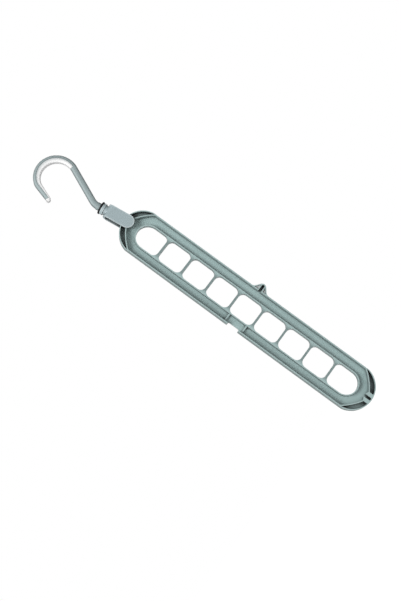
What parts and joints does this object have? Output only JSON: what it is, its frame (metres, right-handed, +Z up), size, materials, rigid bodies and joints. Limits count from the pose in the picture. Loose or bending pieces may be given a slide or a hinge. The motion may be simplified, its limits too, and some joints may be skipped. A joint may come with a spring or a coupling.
{
  "type": "folding hanger",
  "caption": "Long moulded hanger frame with a row of garment openings, folding on a fork under a swivel hook with a soft-lined bow.",
  "frame": {"origin": "rod seat: the highest point of the liner inside the hook's bow, where the hanger rests on a rail", "axes": "+Z up along the frame's long side as it hangs, -Y out of the open front of the frame's channel, +X towards the lug on the long side"},
  "size_m": [0.0749, 0.016, 0.4894],
  "materials": {
    "frame_plastic": "grey-green moulded plastic, satin",
    "fork_plastic": "lighter blue-grey moulded plastic, satin",
    "hook_plastic": "grey-green moulded plastic, satin",
    "soft_liner": "soft white, matte",
    "dark_rubber": "near black, matte",
    "washer_steel": "stamped",
    "screw_steel": "zinc plated"
  },
  "bodies": {
    "hook": {"hook": "hook_plastic", "hook_liner": "soft_liner", "swivel_washer": "dark_rubber", "thrust_washer": "washer_steel", "swivel_screw": "screw_steel"},
    "fork": {"fork": "fork_plastic"},
    "frame": {"garment_frame": "frame_plastic"}
  },
  "joints": [
    {"name": "hook_swivel", "type": "hinge", "parent": "hook", "child": "fork", "pos_m": [0.00684, 0, -0.11889], "axis": [-0.1201, 0, 0.9928], "continuous": true},
    {"name": "frame_fold", "type": "hinge", "parent": "fork", "child": "frame", "pos_m": [0.00684, 0, -0.11889], "axis": [0, 1, 0], "range_deg": [-96.9, 83.1]}
  ]
}
